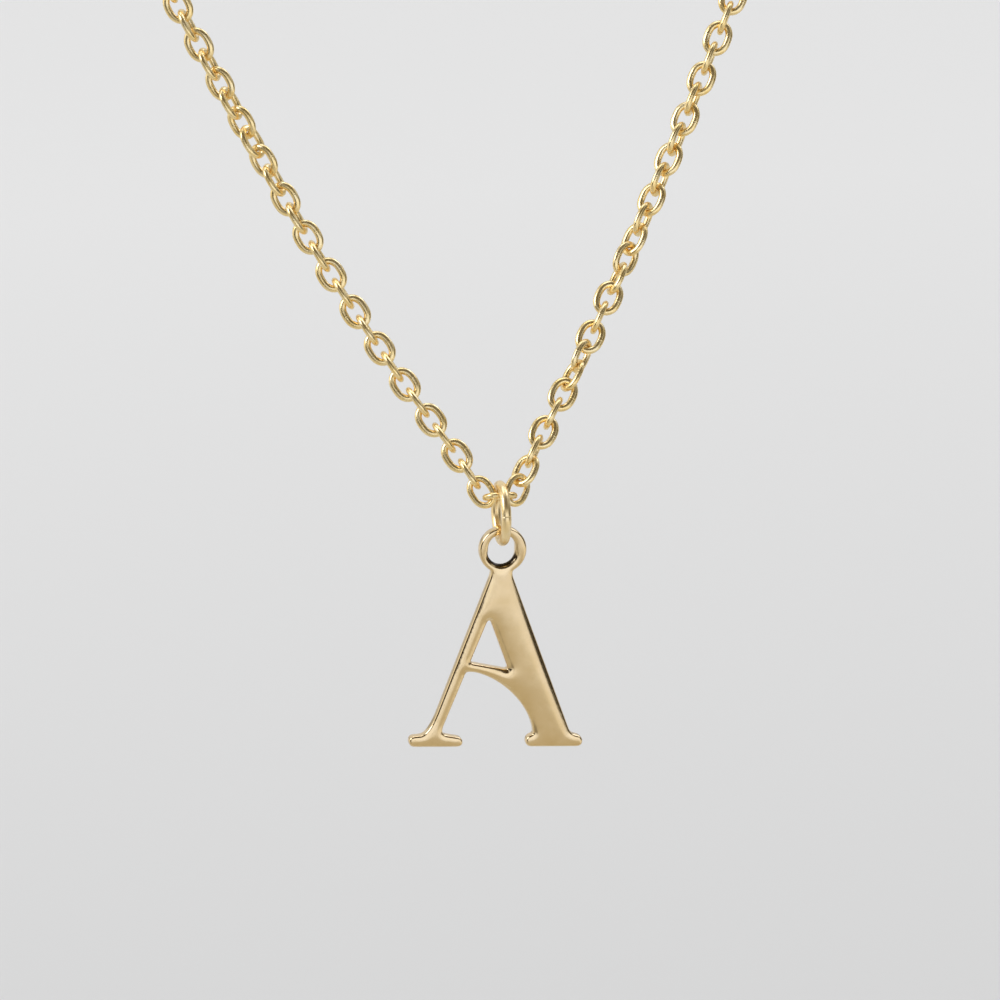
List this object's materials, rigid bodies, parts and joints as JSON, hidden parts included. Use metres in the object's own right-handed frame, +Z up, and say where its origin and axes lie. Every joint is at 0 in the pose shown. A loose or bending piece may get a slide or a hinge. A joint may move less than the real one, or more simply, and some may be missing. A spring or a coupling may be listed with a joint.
{
  "type": "initial pendant",
  "caption": "Gold letter A pendant with a round eye, hung by a jump ring on a fine cable chain necklace, stored as it hangs when worn.",
  "frame": {"origin": "where the clasp lies on the back of the neck, in the middle of the clasp's barrel on its inner side", "axes": "+Z up as worn, -Y forward through the pendant, whose letter faces -Y, +X to the right of someone who faces the letter"},
  "size_m": [0.0947, 0.1248, 0.1071],
  "materials": {
    "gold": "softly polished pale gold",
    "chain_gold": "polished gold"
  },
  "bodies": {
    "chain": {"chain_left": "chain_gold", "chain_right": "chain_gold", "clasp": "chain_gold"},
    "ring": {"jump_ring": "gold"},
    "pendant": {"letter": "gold"}
  },
  "joints": [
    {"name": "ring_swing", "type": "hinge", "parent": "chain", "child": "ring", "pos_m": [0, -0.11973, -0.08714], "axis": [1, 0, 0], "range_deg": [-60, 60]},
    {"name": "letter_swing", "type": "hinge", "parent": "ring", "child": "pendant", "pos_m": [0, -0.11973, -0.08923], "axis": [0, 1, 0], "range_deg": [-45, 45]}
  ]
}
